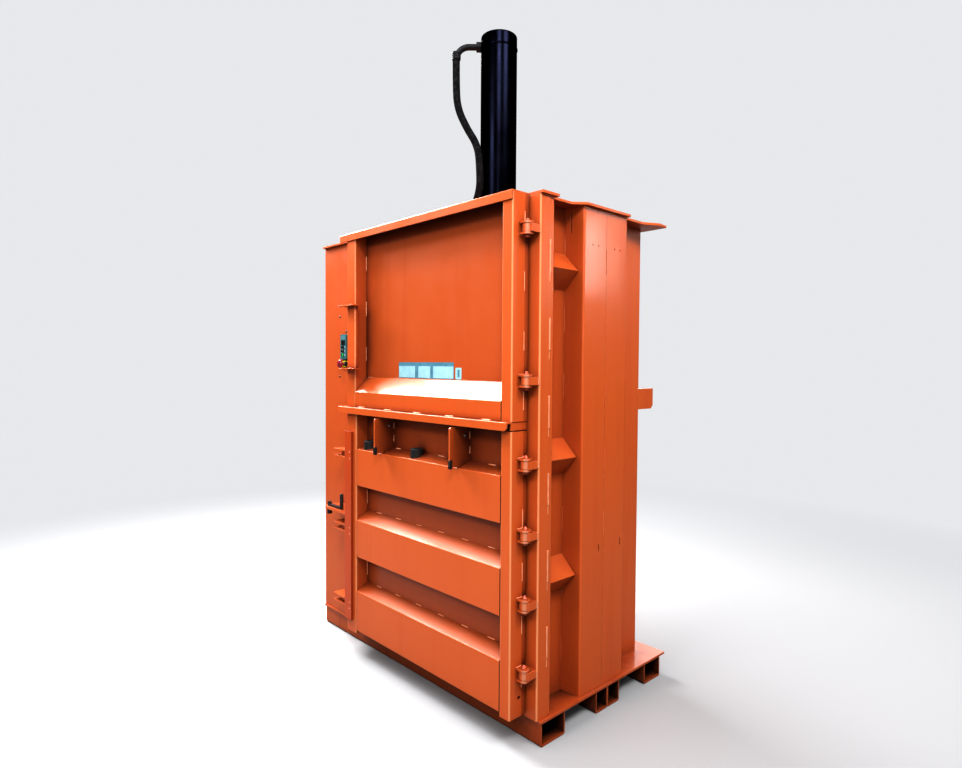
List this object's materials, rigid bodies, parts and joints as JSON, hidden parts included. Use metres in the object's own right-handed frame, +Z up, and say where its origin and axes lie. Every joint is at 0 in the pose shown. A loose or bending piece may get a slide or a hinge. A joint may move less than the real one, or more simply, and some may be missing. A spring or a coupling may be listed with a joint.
{
  "type": "vertical recycling baler",
  "caption": "Vertical hydraulic baler with a roof cylinder, a feed door over a ribbed bale door, a side cabinet with controls, and fork pockets in its base.",
  "frame": {"origin": "on the floor, in the middle of the machine's plan", "axes": "+Z up, the doors face -Y, +X is the side the doors are hinged on"},
  "size_m": [1.596, 1.055, 2.977],
  "materials": {
    "frame_paint": "semi-gloss",
    "steel": "dull machined",
    "rod_chrome": "hard chrome",
    "black_steel": "satin",
    "hose_rubber": "matt",
    "black_plastic": "matt",
    "panel_teal": "satin",
    "red_plastic": "gloss",
    "green_plastic": "gloss",
    "yellow_plastic": "gloss",
    "grey_paint": "satin",
    "fitting_zinc": "zinc plated"
  },
  "bodies": {
    "frame": {"base_tube_front": "frame_paint", "base_tubes_middle": "frame_paint", "base_tube_rear": "frame_paint", "floor_plate": "frame_paint", "right_wall": "frame_paint", "left_wall": "frame_paint", "rear_wall": "frame_paint", "roof_plate": "frame_paint", "roof_beams": "frame_paint", "right_column": "frame_paint", "right_column_angle": "frame_paint", "left_column": "frame_paint", "side_channels": "frame_paint", "side_ribs": "frame_paint", "rear_beam": "frame_paint", "rear_channels": "frame_paint", "cabinet_shell": "frame_paint", "cabinet_cover": "frame_paint", "control_panel": "panel_teal", "switch_collars": "yellow_plastic", "oil_tank": "grey_paint", "hydraulic_pump": "grey_paint", "cylinder_flange": "frame_paint", "cylinder_barrel": "black_steel", "cylinder_gland": "steel", "cylinder_cap": "black_steel", "hydraulic_hose": "hose_rubber", "hose_elbow": "black_steel", "hose_bulkhead": "fitting_zinc", "hinge_barrels": "frame_paint", "hinge_pins": "steel", "lock_ears": "frame_paint", "lever_bracket": "frame_paint", "lever_bolt": "black_steel", "ejector_hinge": "steel"},
    "upper_door": {"upper_door_panel": "frame_paint", "upper_door_posts": "frame_paint", "upper_door_sill": "frame_paint", "upper_door_top_plate": "frame_paint", "upper_door_bottom_plate": "frame_paint", "upper_door_handle": "frame_paint", "upper_door_hinge_ears": "frame_paint"},
    "lower_door": {"lower_door_panel": "frame_paint", "lower_door_posts": "frame_paint", "lower_door_ribs": "frame_paint", "lower_door_gussets": "frame_paint", "lower_door_hinge_ears": "frame_paint", "twine_guides": "black_plastic", "lock_bar": "frame_paint"},
    "ram": {"piston": "steel", "piston_rod": "rod_chrome", "platen_plate": "frame_paint", "platen_beams": "frame_paint"},
    "lever": {"lock_lever": "black_steel"},
    "stop_button": {"emergency_stop": "red_plastic"},
    "button_up": {"up_button": "black_plastic"},
    "button_down": {"down_button": "black_plastic"},
    "button_start": {"start_button": "green_plastic"},
    "selector": {"selector_switch": "black_plastic"},
    "ejector": {"ejector_plate": "steel"}
  },
  "joints": [
    {"name": "upper_door_hinge", "type": "hinge", "parent": "frame", "child": "upper_door", "pos_m": [0.754, -0.4295, 1.653], "axis": [0, 0, 1], "range_deg": [0, 120]},
    {"name": "lower_door_hinge", "type": "hinge", "parent": "frame", "child": "lower_door", "pos_m": [0.754, -0.4295, 0.676], "axis": [0, 0, 1], "range_deg": [0, 120]},
    {"name": "ram_stroke", "type": "slide", "parent": "frame", "child": "ram", "axis": [0, 0, -1], "range_m": [0, 0.78]},
    {"name": "lock_lever_pivot", "type": "hinge", "parent": "frame", "child": "lever", "pos_m": [-0.597, -0.4655, 0.703], "axis": [0, 0, -1], "range_deg": [0, 110]},
    {"name": "emergency_stop_press", "type": "slide", "parent": "frame", "child": "stop_button", "axis": [0, 1, 0], "range_m": [0, 0.005], "stiffness_N_per_m": 1500},
    {"name": "up_button_press", "type": "slide", "parent": "frame", "child": "button_up", "axis": [0, 1, 0], "range_m": [0, 0.003], "stiffness_N_per_m": 800},
    {"name": "down_button_press", "type": "slide", "parent": "frame", "child": "button_down", "axis": [0, 1, 0], "range_m": [0, 0.003], "stiffness_N_per_m": 800},
    {"name": "start_button_press", "type": "slide", "parent": "frame", "child": "button_start", "axis": [0, 1, 0], "range_m": [0, 0.003], "stiffness_N_per_m": 800},
    {"name": "selector_turn", "type": "hinge", "parent": "frame", "child": "selector", "pos_m": [-0.551, -0.3845, 1.434], "axis": [0, -1, 0], "range_deg": [-45, 45]},
    {"name": "ejector_tip", "type": "hinge", "parent": "frame", "child": "ejector", "pos_m": [0.17, -0.3275, 0.118], "axis": [1, 0, 0], "range_deg": [0, 40]}
  ]
}
